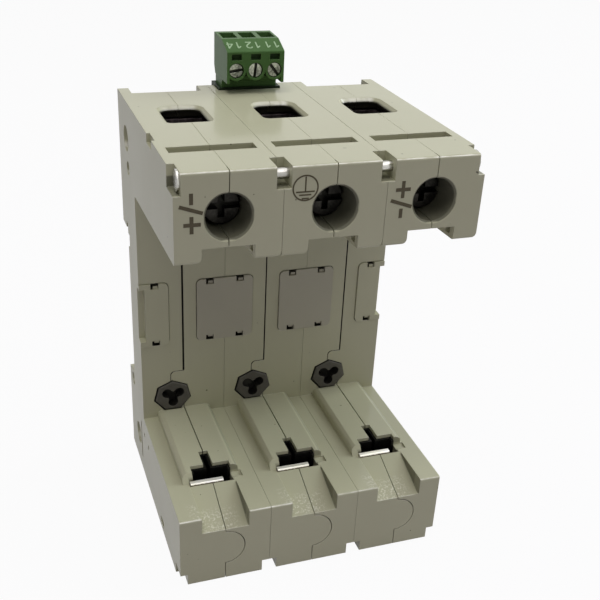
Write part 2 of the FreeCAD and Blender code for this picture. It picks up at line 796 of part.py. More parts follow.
def coding_key(shallow):
    """Heptagonal key with a three-lobed socket; it keeps a wrong cartridge out."""
    key = heptagon(key_half, -key_proud, key_depth - contact_clear)
    rim = [edge for edge in key.Edges if abs(edge.CenterOfMass.y + key_proud) < 0.01]
    key = key.makeChamfer(0.2, rim)
    lobes = []
    for angle in (30, 150, 270):
        depth = 0.5 if shallow and angle == 150 else key_socket_depth
        c = math.cos(math.radians(angle))
        n = math.sin(math.radians(angle))
        lobes.append(rod_y(key_x + key_socket_offset * c, key_z + key_socket_offset * n,
                           key_socket_radius, -key_proud - 1, depth))
        arm = box(0, key_socket_offset, -key_proud - 1, depth, -key_socket_arm / 2,
                  key_socket_arm / 2)
        arm.rotate(Vector(0, 0, 0), Vector(0, 1, 0), -angle)
        lobes.append(moved(arm, key_x, 0, key_z))
    return moved(key.cut(fuse_all(lobes)), key_play, 0, key_play * 0.6)


def cover_plate(middle, x0, x1):
    """Snap-in plate over a joint line, kept between x0 and x1. A snap tab shows in each of its
    windows; the end plates have an open slot in their outer edge."""
    plate = prism_y(rectangle(middle - plate_half, middle + plate_half, plate_low, plate_high,
                              plate_round), plate_seat - plate_sheet, plate_seat)
    keep = box(x0, x1, -5, 5, plate_low - 1, plate_high + 1)
    plate = cut_all(plate.common(keep), window_tools(middle))
    tabs = []
    for sign in (-1, 1):
        x = middle + sign * window_x
        if x0 < x < x1:
            low = plate_low + window_in
            high = plate_high - window_in
            for z0, z1 in ((low - tab_height, low + 0.1), (high - 0.1, high + tab_height)):
                tabs.append(box(x - tab_half + 0.2, x + tab_half + 0.2, plate_seat - plate_sheet + tab_sunk,
                                plate_seat, z0, z1))
    plate = fuse_all([plate] + tabs)
    if middle - plate_half < x0:
        plate = plate.cut(end_slot_tool(-1, x0))
    if middle + plate_half > x1:
        plate = plate.cut(end_slot_tool(1, x1))
    return plate


def rail_foot():
    """Sliding foot: T-shaped in section, with a slanted nose that goes behind the rail."""
    face_back = back_depth - 0.2
    nose = rail_low + foot_nose_rise
    profile = [(guide_y, foot_bottom, 0), (face_back, foot_bottom, 0.4),
               (face_back, rail_low - shoulder_slope, 0.3), (guide_y + 1.2, nose, 0.4),
               (guide_y, nose, 0.3)]
    face = prism_x(profile, -foot_half, foot_half)
    wings = box(-foot_flange_half, foot_flange_half, guide_y, guide_y + foot_flange_sheet,
                foot_flange_low, foot_flange_top)
    lug = box(-lug_half, lug_half, guide_y - lug_reach, guide_y + 0.5, lug_top - lug_height, lug_top)
    eye = box(-foot_half * 0.5, foot_half * 0.5, guide_y + foot_eye_in, back_depth + 1,
              foot_bottom + foot_eye[0], foot_bottom + foot_eye[1])
    grips = []
    for k in range(foot_grips):
        z = foot_bottom + foot_grip_low + k * foot_grip_step
        grips.append(box(-foot_half * 0.7, foot_half * 0.7, face_back - foot_grip_depth, back_depth + 1,
                         z, z + foot_grip_width))
    return cut_all(fuse_all([face, wings, lug]), [eye] + grips)


def foot_spring():
    """Wavy leaf spring between the pocket's floor and the foot's lug."""
    y0 = guide_y - lug_reach + 0.1
    y1 = guide_y - 0.3
    low = spring_pocket_low
    high = lug_top - lug_height
    rise = (high - low) / (2 * spring_waves)
    s = spring_sheet
    right = []
    left = []
    for k in range(2 * spring_waves + 1):
        z = low + k * rise
        y = y0 if k % 2 == 0 else y1 - s
        right.append((y + s, z, 0))
        left.append((y, z, 0))
    strip = right + left[::-1]
    return prism_x(strip, -lug_half, lug_half)


def header_shroud():
    """Open box round the header's pins."""
    outer = box(plug_x - header_half, plug_x + header_half, header_front, header_back, header_floor,
                header_rim)
    inner = box(plug_x - header_half + header_wall, plug_x + header_half - header_wall,
                header_front + header_wall, header_back - header_wall,
                header_floor + header_floor_sheet, header_rim + 1)
    shroud = outer.cut(inner)
    return cut_all(shroud, [pin_shape(x, header_floor - 1, header_rim, 0.02) for x in plug_places])


def pin_y():
    return plug_nose_front + 0.45 + blade_sheet + 0.15 + pin_half


def pin_shape(x, low, high, grow=0.0):
    h = pin_half + grow
    return box(x - h, x + h, pin_y() - h, pin_y() + h, low, high)


def header_pins():
    return Part.makeCompound([pin_shape(x, board_low - 0.6, pin_top) for x in plug_places])


def signal_board():
    """Small circuit board that carries the header."""
    board = box(plug_x - header_half - 0.3, plug_x + header_half + 0.3, board_front, back_depth - 0.2,
                board_low, header_floor)
    return cut_all(board, [pin_shape(x, board_low - 1, header_floor + 1, 0.02) for x in plug_places])


def plug_body():
    """Moulded plug: screws to the front, wire wells on top, narrow nose into the header."""
    c = header_clear
    x0 = plug_x - plug_half
    x1 = plug_x + plug_half
    upper = [(plug_front, plug_screw_z, 0), (plug_front, plug_slope_low, 0.3),
             (plug_slope_back, plug_high - plug_top_rise, 0.2), (plug_back, plug_high, 0.2),
             (plug_back, plug_low + plug_back_chamfer, 0), (plug_nose_back, plug_low, 0),
             (plug_nose_back, plug_nose_low, 0), (plug_nose_front, plug_nose_low, 0),
             (plug_nose_front, plug_low - 0.6, 0), (plug_nose_front - 1.0, plug_low, 0),
             (plug_nose_front - 1.0, plug_screw_z, 0)]
    body = prism_x(upper, x0, x1)
    shrink = box(x0 - 1, x0 + c, plug_nose_front - 1, plug_nose_back + 1, plug_nose_low - 1, plug_low)
    shrink2 = box(x1 - c, x1 + 1, plug_nose_front - 1, plug_nose_back + 1, plug_nose_low - 1, plug_low)
    parts = [body.cut(shrink).cut(shrink2)]
    for x in plug_places:
        parts.append(rod_y(x, plug_screw_z, plug_collar_radius, plug_front, plug_nose_front - 0.9))
    for side in (x0, x1 - 0.5):
        parts.append(box(side, side + 0.5, plug_front, plug_nose_front - 0.9, plug_low,
                         plug_screw_z + 0.1))
    body = fuse_all(parts)
    tools = []
    well_low = plug_screw_z + clamp_height / 2
    for x in plug_places:
        head_end = plug_front + plug_screw_inset + plug_screw_head
        bore = rod_y(x, plug_screw_z, plug_screw_radius + plug_fit, plug_front - 1, head_end + plug_fit)
        bore = bore.fuse(rod_y(x, plug_screw_z, plug_screw_radius + plug_bore_gap, plug_front - 1,
                               head_end - 0.2))
        neck = rod_y(x, plug_screw_z, plug_shaft_radius + plug_fit, head_end, head_end + plug_web + 0.1)
        room = box(x - clamp_half - clamp_clear, x + clamp_half + clamp_clear, head_end + plug_web,
                   clamp_back_y + 0.2, plug_screw_z - clamp_height / 2 - clamp_clear,
                   plug_screw_z + clamp_height / 2 + clamp_clear)
        well = box(x - plug_well_half, x + plug_well_half, plug_well_front, plug_well_back,
                   well_low, plug_high + 1)
        window = box(x - plug_window_half, x + plug_window_half, plug_front - 1,
                     plug_front + plug_window_depth, plug_window_low, plug_window_high)
        socket = box(x - pin_half - 0.3, x + pin_half + 0.3, plug_nose_front + 0.35,
                     pin_y() + pin_half + 0.15, plug_nose_low - 1, plug_screw_z - clamp_height / 2)
        tools += [bore.fuse(neck), room.fuse(well).fuse(socket), window]
    return cut_all(body, tools)


def plug_screw(x, turn):
    """Small slotted screw of the plug, with its slot turned by an angle."""
    y0 = plug_front + plug_screw_inset
    head = rod_y(x, plug_screw_z, plug_screw_radius, y0, y0 + plug_screw_head)
    shank = rod_y(x, plug_screw_z, plug_shaft_radius, y0 + plug_screw_head, blade_front - 0.1)
    slot = box(-plug_screw_radius - 1, plug_screw_radius + 1, y0 - 1, y0 + plug_screw_head * 0.7,
               -plug_slot_width / 2, plug_slot_width / 2)
    slot.rotate(Vector(0, 0, 0), Vector(0, 1, 0), -turn)
    return fuse_all([head, shank]).cut(moved(slot, x, 0, plug_screw_z))


def plug_clamp(x):
    """Small cage on the plug's screw."""
    z0 = plug_screw_z - clamp_height / 2
    z1 = plug_screw_z + clamp_height / 2
    y0 = clamp_front_y
    outer = box(x - clamp_half, x + clamp_half, y0, clamp_back_y, z0, z1)
    window = box(x - clamp_half + clamp_wall, x + clamp_half - clamp_wall, y0 + clamp_front,
                 y0 + clamp_front + clamp_window, z0 - 1, z1 + 1)
    thread = rod_y(x, plug_screw_z, plug_shaft_radius + plug_fit, y0 - 1, y0 + clamp_front + 1)
    return outer.cut(window).cut(thread)


def plug_blades():
    """Contact strips of the plug: a tongue in each clamp, a leaf beside each pin."""
    blades = []
    for x in plug_places:
        blades.append(box(x - pin_half - 0.2, x + pin_half + 0.2, blade_front,
                          blade_front + blade_sheet, plug_nose_low + 0.6,
                          plug_screw_z + clamp_height / 2 - 0.2))
    return Part.makeCompound(blades)


def save(name, shape):
    moved(shape, 0, shift_y, 0).exportStep("parts/" + name + ".step")


os.makedirs("parts", exist_ok=True)

for index, place in enumerate(pole_places):
    number = str(index + 1)
    left, right = half_shells(pole_shape(index), wall_seams[index])
    save("shell_left_" + number, moved(left, place))
    save("shell_right_" + number, moved(right, place))
    save("terminal_screw_" + number, moved(terminal_screw(), place))
    save("terminal_cage_" + number, moved(terminal_cage(), place))
    save("line_contact_" + number, moved(line_contact(), place))
    save("lower_contact_" + number, moved(lower_contact(), place))
    save("contact_clip_" + number, moved(contact_clip(), place))
    save("coding_key_" + number, moved(coding_key(key_shallow[index]), place))

outer = half_pole * pole_count - pole_gap / 2
for index in range(pole_count + 1):
    middle = (index - pole_count / 2) * pole_width
    save("cover_plate_" + str(index + 1), cover_plate(middle, -outer, outer))

save("tie_rivets", tie_rivets())
save("star_bar", star_bar())
save("rail_foot_1", moved(rail_foot(), pole_places[0]))
save("rail_foot_2", moved(rail_foot(), pole_places[-1]))
save("foot_spring_1", moved(foot_spring(), pole_places[0]))
save("foot_spring_2", moved(foot_spring(), pole_places[-1]))
save("header_shroud", header_shroud())
save("header_pins", header_pins())
save("signal_board", signal_board())
save("plug_body", plug_body())
save("plug_blades", plug_blades())
for index, place in enumerate(plug_places):
    save("plug_screw_" + str(index + 1), plug_screw(place, plug_slot_turns[index]))
    save("plug_clamp_" + str(index + 1), plug_clamp(place))
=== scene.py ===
import bmesh
import bpy
import numpy as np
from mathutils import Matrix, Vector


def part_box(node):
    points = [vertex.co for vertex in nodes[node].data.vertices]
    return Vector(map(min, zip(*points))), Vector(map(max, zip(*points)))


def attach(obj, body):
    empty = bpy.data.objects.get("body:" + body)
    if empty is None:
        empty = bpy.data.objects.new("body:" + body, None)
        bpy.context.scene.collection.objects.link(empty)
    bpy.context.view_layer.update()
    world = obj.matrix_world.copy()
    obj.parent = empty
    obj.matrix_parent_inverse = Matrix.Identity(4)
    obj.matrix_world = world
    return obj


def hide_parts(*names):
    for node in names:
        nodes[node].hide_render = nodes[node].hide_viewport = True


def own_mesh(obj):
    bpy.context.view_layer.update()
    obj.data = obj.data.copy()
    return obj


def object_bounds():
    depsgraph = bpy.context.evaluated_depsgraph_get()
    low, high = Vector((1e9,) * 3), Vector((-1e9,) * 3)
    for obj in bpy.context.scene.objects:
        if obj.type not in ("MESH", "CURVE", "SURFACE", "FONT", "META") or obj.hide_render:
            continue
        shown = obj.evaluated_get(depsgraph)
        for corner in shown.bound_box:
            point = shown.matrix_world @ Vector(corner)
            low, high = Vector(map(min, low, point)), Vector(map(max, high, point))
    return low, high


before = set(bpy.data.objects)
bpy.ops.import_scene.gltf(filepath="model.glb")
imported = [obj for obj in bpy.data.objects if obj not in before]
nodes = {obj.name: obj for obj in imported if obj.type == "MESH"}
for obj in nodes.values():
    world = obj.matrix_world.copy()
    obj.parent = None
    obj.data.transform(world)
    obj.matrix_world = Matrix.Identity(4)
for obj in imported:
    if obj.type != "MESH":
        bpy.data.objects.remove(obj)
cad_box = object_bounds()

# ---------------------------------------------------------------- shared measures and tools
# Measures that several sections use, and helpers for shader trees. Corners of boxes are written in
# millimetres and turned into metres where a mask is made; meshes and bevels are in metres.
mm_per_m = 1000.0
poles = (1, 2, 3)
pole_pitch = 17.8
single = 1000.0                             # pitch of a mask that isn't repeated
front_face = cad_box[0][1] * mm_per_m
mix_first, mix_second, mix_result = 6, 7, 2  # colour sockets of the mix node


def new_group(name, inputs, outputs):
    """Shader node group with the given float, colour or vector sockets."""
    group = bpy.data.node_groups.new(name, "ShaderNodeTree")
    kinds = {"v": "NodeSocketFloat", "c": "NodeSocketColor", "n": "NodeSocketVector"}
    for label, kind in inputs:
        group.interface.new_socket(label, in_out="INPUT", socket_type=kinds[kind])
    for label, kind in outputs:
        group.interface.new_socket(label, in_out="OUTPUT", socket_type=kinds[kind])
    start = group.nodes.new("NodeGroupInput")
    end = group.nodes.new("NodeGroupOutput")
    return group, start, end


def node(tree, kind, links=None, **values):
    """New node; values set its properties or sockets, links feeds its sockets from others."""
    made = tree.nodes.new(kind)
    for label, value in values.items():
        label = label.replace("_", " ") if label.replace("_", " ") in made.inputs else label
        if label in made.inputs:
            made.inputs[label].default_value = value
        else:
            setattr(made, label, value)
    for label, source in (links or {}).items():
        tree.links.new(source, made.inputs[label])
    return made


def combined(tree, operation, first, second):
    """Socket with two sockets put together by a math node."""
    made = node(tree, "ShaderNodeMath", {0: first, 1: second}, operation=operation)
    return made.outputs[0]


def scaled(tree, source, factor):
    """Socket with the source multiplied by a constant."""
    made = node(tree, "ShaderNodeMath", {0: source}, operation="MULTIPLY")
    made.inputs[1].default_value = factor
    return made.outputs[0]


def mixed(tree, factor, first, second):
    """Socket with two colours mixed by the factor's socket; a colour is a socket or a value."""
    made = node(tree, "ShaderNodeMix", {"Factor": factor}, data_type="RGBA")
    for number, colour in ((mix_first, first), (mix_second, second)):
        if isinstance(colour, bpy.types.NodeSocket):
            tree.links.new(colour, made.inputs[number])
        else:
            made.inputs[number].default_value = colour
    return made.outputs[mix_result]


def noise_mask(tree, place, scale, detail, low, high, to_low=0.0, to_high=1.0):
    """Socket with noise on the object's coordinates, its range low to high mapped to the other."""
    noise = node(tree, "ShaderNodeTexNoise", {"Vector": place.outputs["Object"]}, Scale=scale,
                 Detail=detail)
    made = node(tree, "ShaderNodeMapRange", {"Value": noise.outputs["Fac"]}, From_Min=low,
                From_Max=high, To_Min=to_low, To_Max=to_high)
    return made.outputs[0]


def new_material(name):
    """Material with its tree and its Principled shader."""
    material = bpy.data.materials.new(name)
    material.use_nodes = True
    return material, material.node_tree, material.node_tree.nodes["Principled BSDF"]


def over_colour(tree, shader, factor, colour):
    """Lay a colour over what already feeds the shader's Base Color, by the factor's socket."""
    before = shader.inputs["Base Color"].links[0].from_socket
    tree.links.new(mixed(tree, factor, before, colour), shader.inputs["Base Color"])


def dress(material, *names):
    """Give CAD nodes a finish through their own material slots."""
    for name in names:
        for slot in nodes[name].material_slots:
            slot.material = material


# ---------------------------------------------------------------- camera
# Eye position and directions come from fitting a pinhole camera to the outline of the base,
# with its width of three modular poles as the scale.
eye = Vector((-0.05368, -0.15774, 0.12959))
look_right = Vector((0.94574, -0.32167, 0.04593))
look_ahead = Vector((0.30289, 0.82154, -0.48304))
focal_pixels = 929.2
centre_pixels = (298.6, 335.6)
image_pixels = 600.0
sensor_mm = 36.0
clip_near, clip_far = 0.01, 20.0

camera_data = bpy.data.cameras.new("camera")
camera_data.sensor_fit = "HORIZONTAL"
camera_data.sensor_width = sensor_mm
camera_data.lens = focal_pixels * sensor_mm / image_pixels
camera_data.shift_x = (image_pixels / 2 - centre_pixels[0]) / image_pixels
camera_data.shift_y = (centre_pixels[1] - image_pixels / 2) / image_pixels
camera_data.clip_start = clip_near
camera_data.clip_end = clip_far
camera = bpy.data.objects.new("camera", camera_data)
bpy.context.scene.collection.objects.link(camera)
look_up = look_right.cross(look_ahead).normalized()
turn = Matrix((look_right, look_up, -look_ahead)).transposed().to_4x4()
camera.matrix_world = Matrix.Translation(eye) @ turn
bpy.context.scene.camera = camera

# ---------------------------------------------------------------- floor, backdrop and light
# A sweep that the camera, gloss and glass see as white, while the floor lights the object as a
# faintly lilac grey and keeps its soft shadow. Soft boxes hang overhead, at the upper left, right
# and front; two stand lower, at the right and the left front, and reach into the bays.
backdrop_white = (1.0, 1.0, 1.0, 1.0)
sky_tint = (1.0, 0.96, 1.0, 1.0)
sky_strength = 0.065
floor_tint = (0.53, 0.505, 0.57, 1.0)
floor_reach = 3.0
shadow_share = 0.05
lamps_aim = Vector((0.0, 0.0, 0.05))
lamps = (                                   # name, place, side, watts, colour
    ("overhead_box", (0.0, 0.1, 0.85), 0.5, 1.25, (1.0, 0.985, 1.0)),
    ("left_box", (-0.2, -0.12, 0.75), 0.4, 1.65, (1.0, 0.98, 1.0)),
    ("upper_right_box", (0.45, -0.05, 0.65), 0.5, 0.7, (1.0, 1.0, 1.0)),
    ("front_box", (0.25, -0.45, 0.75), 0.5, 1.2, (1.0, 0.965, 1.0)),
    ("left_front_box", (-0.45, -0.8, 0.35), 0.5, 0.7, (1.0, 0.975, 1.0)),
    ("right_box", (0.8, 0.1, 0.4), 0.5, 4.2, (0.87, 0.95, 1.0)),
)
bpy.context.scene.view_settings.view_transform = "Standard"


def seen_white(tree, out, lighting, white, share):
    """Feed out with the white shader where camera, glass or gloss look, by the given share, and
    with the lighting one everywhere else."""
    ray = node(tree, "ShaderNodeLightPath")
    looking = combined(tree, "MAXIMUM", ray.outputs["Is Camera Ray"],
                       ray.outputs["Is Transmission Ray"])
    looking = combined(tree, "MAXIMUM", looking, ray.outputs["Is Glossy Ray"])
    blend = node(tree, "ShaderNodeMixShader", {"Fac": scaled(tree, looking, share),
                                               1: lighting.outputs[0], 2: white.outputs[0]})
    tree.links.new(blend.outputs[0], out.inputs["Surface"])


world = bpy.data.worlds.new("studio")
bpy.context.scene.world = world
world.use_nodes = True
tree = world.node_tree
tree.nodes.clear()
lit = node(tree, "ShaderNodeBackground", Color=sky_tint, Strength=sky_strength)
shown = node(tree, "ShaderNodeBackground", Color=backdrop_white, Strength=1.0)
seen_white(tree, node(tree, "ShaderNodeOutputWorld"), lit, shown, 1.0)

floor_mesh = bpy.data.meshes.new("floor")
r = floor_reach
floor_mesh.from_pydata([(-r, -r, 0), (r, -r, 0), (r, r, 0), (-r, r, 0)], [], [(0, 1, 2, 3)])
floor = bpy.data.objects.new("floor", floor_mesh)
bpy.context.scene.collection.objects.link(floor)
floor_paint = bpy.data.materials.new("floor_paint")
floor_paint.use_nodes = True
tree = floor_paint.node_tree
tree.nodes.clear()
paint = node(tree, "ShaderNodeBsdfDiffuse", Color=floor_tint)
glow = node(tree, "ShaderNodeEmission", Color=backdrop_white, Strength=1.0)
seen_white(tree, node(tree, "ShaderNodeOutputMaterial"), paint, glow, 1.0 - shadow_share)
floor_mesh.materials.append(floor_paint)

for name, place, side, watts, colour in lamps:
    data = bpy.data.lights.new(name, "AREA")
    data.shape = "RECTANGLE"
    data.size = side
    data.size_y = side
    data.energy = watts
    data.color = colour
    lamp = bpy.data.objects.new(name, data)
    bpy.context.scene.collection.objects.link(lamp)
    lamp.location = place
    lamp.rotation_euler = (lamps_aim - Vector(place)).to_track_quat("-Z", "Y").to_euler()

# ---------------------------------------------------------------- shared finishes
# Rounded edges as the mould leaves them: the normal turned over a small radius, and a mask that is
# one minus the cosine between that normal and the flat one.
edge_starts, edge_full = 0.985, 0.72
rounding, start, end = new_group("rounded_edge", [("Radius", "v")],
                                 [("Normal", "n"), ("Edge", "v")])
bevel = node(rounding, "ShaderNodeBevel", {"Radius": start.outputs["Radius"]}, samples=6)
flat = node(rounding, "ShaderNodeNewGeometry")
cosine = node(rounding, "ShaderNodeVectorMath", {0: bevel.outputs[0], 1: flat.outputs["Normal"]},
              operation="DOT_PRODUCT")
away = node(rounding, "ShaderNodeMapRange", {"Value": cosine.outputs["Value"]},
            From_Min=edge_starts, From_Max=edge_full, To_Min=0.0, To_Max=1.0)
rounding.links.new(bevel.outputs[0], end.inputs["Normal"])
rounding.links.new(away.outputs[0], end.inputs["Edge"])

# Moulded skin: slow mottling between two shades, a paler edge that is a painted highlight, a fine
# grain as height and a roughness that wanders a little.
skin, start, end = new_group("moulded_skin",
                             [("Shade A", "c"), ("Shade B", "c"), ("Edge Shade", "c"),
                              ("Edge", "v"), ("Mottle Scale", "v"), ("Grain Scale", "v"),
                              ("Roughness", "v"), ("Roughness Drift", "v")],
                             [("Color", "c"), ("Roughness", "v"), ("Height", "v")])
place = node(skin, "ShaderNodeTexCoord")
slow = node(skin, "ShaderNodeTexNoise", {"Vector": place.outputs["Object"],
                                         "Scale": start.outputs["Mottle Scale"]},
            Detail=4.0, Roughness=0.6)
spread = node(skin, "ShaderNodeMapRange", {"Value": slow.outputs["Fac"]}, From_Min=0.2,
              From_Max=0.8, interpolation_type="SMOOTHSTEP")
mottle = mixed(skin, spread.outputs[0], start.outputs["Shade A"], start.outputs["Shade B"])
paler = mixed(skin, start.outputs["Edge"], mottle, start.outputs["Edge Shade"])
fine = node(skin, "ShaderNodeTexNoise", {"Vector": place.outputs["Object"],
                                         "Scale": start.outputs["Grain Scale"]},
            Detail=3.0, Roughness=0.7)
centred = node(skin, "ShaderNodeMath", {0: slow.outputs["Fac"]}, operation="SUBTRACT")
centred.inputs[1].default_value = 0.5
drift = node(skin, "ShaderNodeMath", {0: centred.outputs[0], 1: start.outputs["Roughness Drift"],
                                      2: start.outputs["Roughness"]}, operation="MULTIPLY_ADD")
skin.links.new(paler, end.inputs["Color"])
skin.links.new(drift.outputs[0], end.inputs["Roughness"])
skin.links.new(fine.outputs["Fac"], end.inputs["Height"])

# Painted shade in recesses where hardly any light comes, and the places of painted highlights and
# glints: a mask that is one inside a box, with the distance to the nearest face of the box
# fading it in. The box is repeated along X at the given pitch.
painted_light_box, start, end = new_group("painted_light_box", [("Low", "n"), ("High", "n"), ("Fade", "v"),
                                          ("Pitch", "v")], [("Dark", "v")])
place = node(painted_light_box, "ShaderNodeTexCoord")
parts = node(painted_light_box, "ShaderNodeSeparateXYZ", {"Vector": place.outputs["Object"]})
folded = node(painted_light_box, "ShaderNodeMath", {0: parts.outputs["X"],
                                         1: scaled(painted_light_box, start.outputs["Pitch"], 0.5),
                                         2: scaled(painted_light_box, start.outputs["Pitch"], -0.5)},
              operation="WRAP")
point = node(painted_light_box, "ShaderNodeCombineXYZ", {"X": folded.outputs[0], "Y": parts.outputs["Y"],
                                              "Z": parts.outputs["Z"]})
under = node(painted_light_box, "ShaderNodeVectorMath", {0: start.outputs["Low"], 1: point.outputs[0]},
             operation="SUBTRACT")
over = node(painted_light_box, "ShaderNodeVectorMath", {0: point.outputs[0], 1: start.outputs["High"]},
            operation="SUBTRACT")
outside = node(painted_light_box, "ShaderNodeVectorMath", {0: under.outputs[0], 1: over.outputs[0]},
               operation="MAXIMUM")
parts = node(painted_light_box, "ShaderNodeSeparateXYZ", {"Vector": outside.outputs[0]})
widest = combined(painted_light_box, "MAXIMUM", parts.outputs["X"], parts.outputs["Y"])
widest = combined(painted_light_box, "MAXIMUM", widest, parts.outputs["Z"])
deep = node(painted_light_box, "ShaderNodeMapRange", {"Value": scaled(painted_light_box, widest, -1.0),
                                           "From Max": start.outputs["Fade"]}, From_Min=0.0)
painted_light_box.links.new(deep.outputs[0], end.inputs["Dark"])

# Drawn or plated metal: streaks along one axis, from noise on stretched object coordinates, as
# colour, roughness and height.
streak_roughness = 0.18
plated, start, end = new_group("plated_metal", [("Bright", "c"), ("Dull", "c"), ("Stretch", "n"),
                                                ("Scale", "v"), ("Roughness", "v")],
                               [("Color", "c"), ("Roughness", "v"), ("Height", "v")])
place = node(plated, "ShaderNodeTexCoord")
stretched = node(plated, "ShaderNodeVectorMath", {0: place.outputs["Object"],
                                                  1: start.outputs["Stretch"]},
                 operation="MULTIPLY")
streak = node(plated, "ShaderNodeTexNoise", {"Vector": stretched.outputs[0],
                                             "Scale": start.outputs["Scale"]},
              Detail=5.0, Roughness=0.65)
stain = node(plated, "ShaderNodeTexNoise", {"Vector": place.outputs["Object"]}, Scale=350.0,
             Detail=3.0)
wear = node(plated, "ShaderNodeMapRange",
            {"Value": combined(plated, "MULTIPLY", streak.outputs["Fac"], stain.outputs["Fac"])},
            From_Min=0.14, From_Max=0.38)
tone = mixed(plated, wear.outputs[0], start.outputs["Dull"], start.outputs["Bright"])
rough = node(plated, "ShaderNodeMath", {0: streak.outputs["Fac"], 2: start.outputs["Roughness"]},
             operation="MULTIPLY_ADD")
rough.inputs[1].default_value = streak_roughness
plated.links.new(tone, end.inputs["Color"])
plated.links.new(rough.outputs[0], end.inputs["Roughness"])
plated.links.new(streak.outputs["Fac"], end.inputs["Height"])


def box_mask(tree, low, high, fade, pitch=pole_pitch):
    """Socket of the painted-light box group for a box, its fade and its pitch, all in millimetres.
    """
    mask = node(tree, "ShaderNodeGroup", node_tree=painted_light_box)
    mask.inputs["Low"].default_value = [v / mm_per_m for v in low]
    mask.inputs["High"].default_value = [v / mm_per_m for v in high]
    mask.inputs["Fade"].default_value = fade / mm_per_m
    mask.inputs["Pitch"].default_value = pitch / mm_per_m
    return mask.outputs["Dark"]


def with_painted_shade(tree, colour, painted_shades, dark):
    """Socket with painted shade: the colour turned towards dark inside each given box. Each entry
    is the low and the high corner of its box, its fade, its strength and its pitch."""
    for low, high, fade, strength, pitch in painted_shades:
        part = scaled(tree, box_mask(tree, low, high, fade, pitch), strength)
        colour = mixed(tree, part, colour, dark)
    return colour


def moulded(name, shade_a, shade_b, edge_shade, roughness, radius, mottle_scale=70.0,
            grain_scale=5000.0, grain=0.08, grain_depth=0.00004, roughness_drift=0.06, gloss=0.15,
            edge_coat=0.3, coat_roughness=0.15, painted_shades=(), dark=(0.012, 0.011, 0.008, 1.0)):
    """Plastic from the rounded-edge and moulded-skin groups, with painted shade in the given
    boxes;
    its shader stays in the material. The skin is duller than the polished edges, which get a thin
    coat of their own by the edge mask and are painted paler as a highlight."""
    material, tree, shader = new_material(name)
    edge = node(tree, "ShaderNodeGroup", node_tree=rounding)
    edge.inputs["Radius"].default_value = radius
    coat = node(tree, "ShaderNodeGroup", {"Edge": edge.outputs["Edge"]}, node_tree=skin)
    for label, value in (("Shade A", shade_a), ("Shade B", shade_b), ("Edge Shade", edge_shade),
                         ("Mottle Scale", mottle_scale), ("Grain Scale", grain_scale),
                         ("Roughness", roughness), ("Roughness Drift", roughness_drift)):
        coat.inputs[label].default_value = value
    bump = node(tree, "ShaderNodeBump", {"Height": coat.outputs["Height"],
                                         "Normal": edge.outputs["Normal"]},
                Strength=grain, Distance=grain_depth)
    tree.links.new(with_painted_shade(tree, coat.outputs["Color"], painted_shades, dark),
                   shader.inputs["Base Color"])
    tree.links.new(coat.outputs["Roughness"], shader.inputs["Roughness"])
    tree.links.new(scaled(tree, edge.outputs["Edge"], edge_coat), shader.inputs["Coat Weight"])
    shader.inputs["Coat Roughness"].default_value = coat_roughness
    shader.inputs["Specular IOR Level"].default_value = gloss
    tree.links.new(bump.outputs[0], shader.inputs["Normal"])
    return material


def metal(name, bright, dull, roughness, radius=0.00008, stretch=(1.0, 1.0, 1.0), scale=2500.0,
          depth=0.000015, strength=0.25, painted_shades=(), dark=(0.01, 0.01, 0.008, 1.0)):
    """Plated metal with rounded edges and painted shade in the given boxes; its shader stays in
    the material.
    """
    material, tree, shader = new_material(name)
    shader.inputs["Metallic"].default_value = 1.0
    edge = node(tree, "ShaderNodeGroup", node_tree=rounding)
    edge.inputs["Radius"].default_value = radius
    coat = node(tree, "ShaderNodeGroup", node_tree=plated)
    for label, value in (("Bright", bright), ("Dull", dull), ("Stretch", stretch),
                         ("Scale", scale), ("Roughness", roughness)):
        coat.inputs[label].default_value = value
    bump = node(tree, "ShaderNodeBump", {"Height": coat.outputs["Height"],
                                         "Normal": edge.outputs["Normal"]},
                Strength=strength, Distance=depth)
    tree.links.new(with_painted_shade(tree, coat.outputs["Color"], painted_shades, dark),
                   shader.inputs["Base Color"])
    tree.links.new(coat.outputs["Roughness"], shader.inputs["Roughness"])
    tree.links.new(bump.outputs[0], shader.inputs["Normal"])
    return material


# ---------------------------------------------------------------- half-shells
# Six injection-moulded half-shells of pale warm-grey polyamide, a left and a right one for each
# pole. The mould leaves a fine satin skin and faint mottling; the rounded edges are painted
# slightly paler as a highlight.
shell_grey = (0.500, 0.495, 0.345, 1.0)
shell_shade = (0.485, 0.479, 0.333, 1.0)
# Paler colour of the rounded edges: a painted highlight.
shell_edge_highlight = (0.58, 0.575, 0.42, 1.0)
shell_rough = 0.3
shell_gloss = 0.08
shell_edge_radius = 0.00012

# Painted shade in the screwdriver holes, notches, cable entries, label slots and T-slots, in what
# lies behind the wall's face, on the shaded sides of the ramps and on the rail's shoulder: low
# corner, high corner, fade, strength and pitch.
hole_box = ((-4.1, front_face + 0.02, 71.2), (4.1, front_face + 12.0, 79.2),
            0.12, 0.66, pole_pitch)
hole_end = ((-4.1, front_face + 0.4, 71.2), (4.1, front_face + 12.0, 79.2),
            3.0, 0.25, pole_pitch)
notch_left = ((7.6, front_face + 0.3, 78.9), (9.0, front_face + 5.0, 81.0),
              0.25, 0.62, pole_pitch)
notch_right = ((-9.0, front_face + 0.3, 78.9), (-7.6, front_face + 5.0, 81.0),
               0.25, 0.62, pole_pitch)
entry_box = ((-5.3, -1.2, 60.0), (5.3, 11.6, 82.4), 0.3, 0.94, pole_pitch)
label_box = ((-7.6, front_face + 9.7, 79.5), (7.6, front_face + 13.1, 82.7),
             0.5, 0.22, pole_pitch)
slot_box = ((-4.7, -16.55, 4.9), (4.5, -7.5, 16.7), 0.9, 0.93, pole_pitch)
wall_box = ((-6.56, 9.17, 16.1), (6.56, 18.4, 58.0), 0.05, 0.95, pole_pitch)
